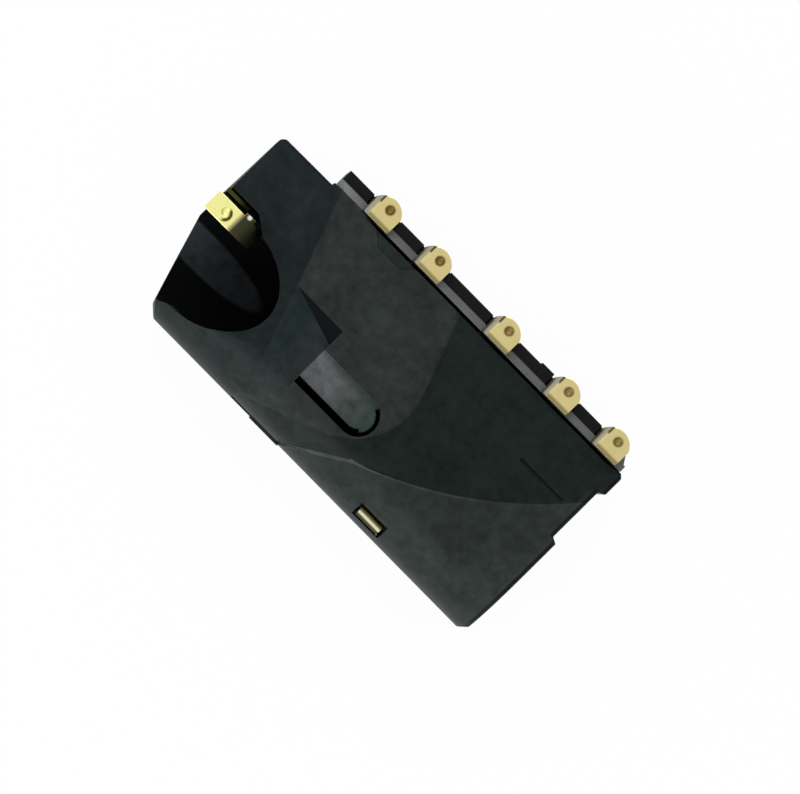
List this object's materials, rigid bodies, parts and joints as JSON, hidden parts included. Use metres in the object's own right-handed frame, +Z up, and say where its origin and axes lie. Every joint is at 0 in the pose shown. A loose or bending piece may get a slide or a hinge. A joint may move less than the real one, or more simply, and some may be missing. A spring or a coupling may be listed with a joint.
{
  "type": "audio jack socket",
  "caption": "Black moulded socket for a 3.5 mm audio plug, with a scooped mouth, a comb-shaped contact carrier and gold spring contacts along one side.",
  "frame": {"origin": "on the axis of the plug bore, in the plane of the front face", "axes": "+X along the bore from the mouth to the rear, +Y towards the spring feet, +Z up, towards the board that the feet press on"},
  "size_m": [0.0147, 0.0077, 0.0047],
  "materials": {
    "housing_plastic": "satin moulded",
    "carrier_plastic": "satin moulded",
    "contact_gold": "gold plated"
  },
  "bodies": {
    "root": {"housing": "housing_plastic", "contact_carrier": "carrier_plastic", "sleeve_contact": "contact_gold", "ring_two_contact": "contact_gold", "ring_one_contact": "contact_gold", "detect_contact": "contact_gold", "tip_contact": "contact_gold"}
  },
  "joints": []
}
